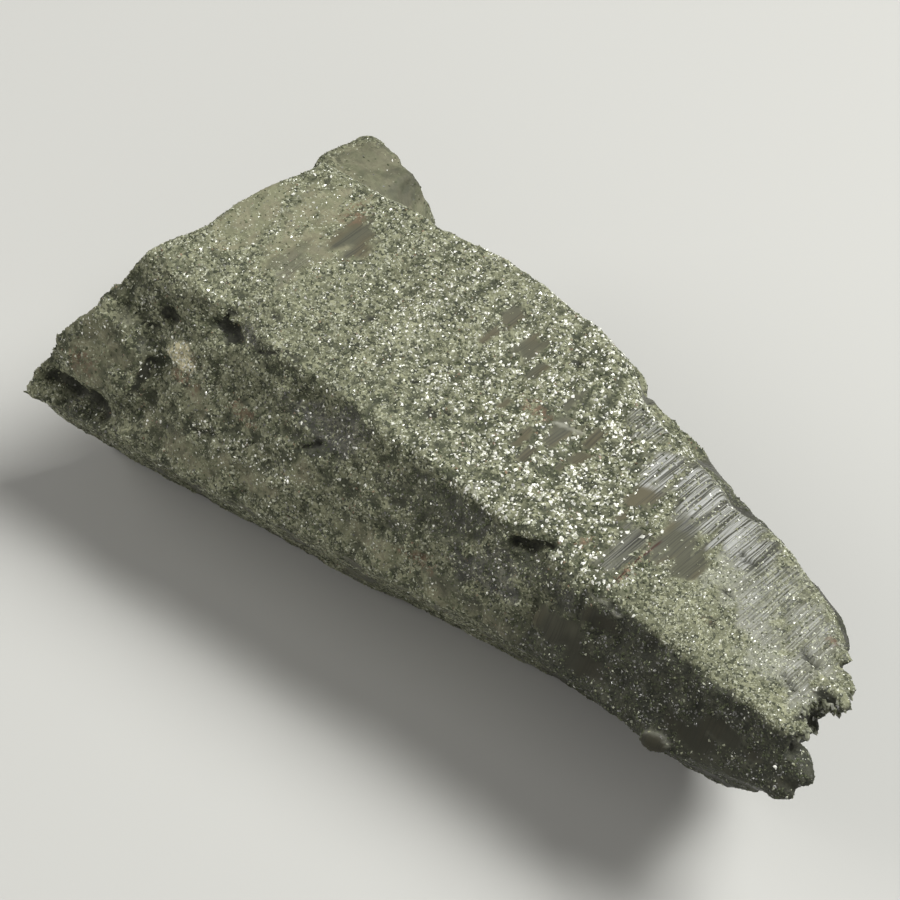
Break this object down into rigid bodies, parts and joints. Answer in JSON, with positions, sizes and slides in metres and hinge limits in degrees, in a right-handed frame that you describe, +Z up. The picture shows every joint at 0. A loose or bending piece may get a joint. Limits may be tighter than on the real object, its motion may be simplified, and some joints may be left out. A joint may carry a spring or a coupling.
{
  "type": "quartz crystal",
  "caption": "Tapering six-sided quartz crystal with a grey-green crust, a broken base and a ragged end of small points, lying on one flat face.",
  "frame": {"origin": "under the middle of the crystal's box, on the face it lies on", "axes": "+X along the crystal from its broken base to its pointed end, +Y towards its back, +Z up"},
  "size_m": [0.0626, 0.0308, 0.0215],
  "materials": {
    "coated_quartz": "fine glittering grey-green mineral crust with glassy striated patches"
  },
  "bodies": {
    "root": {"quartz_crystal": "coated_quartz"}
  },
  "joints": []
}
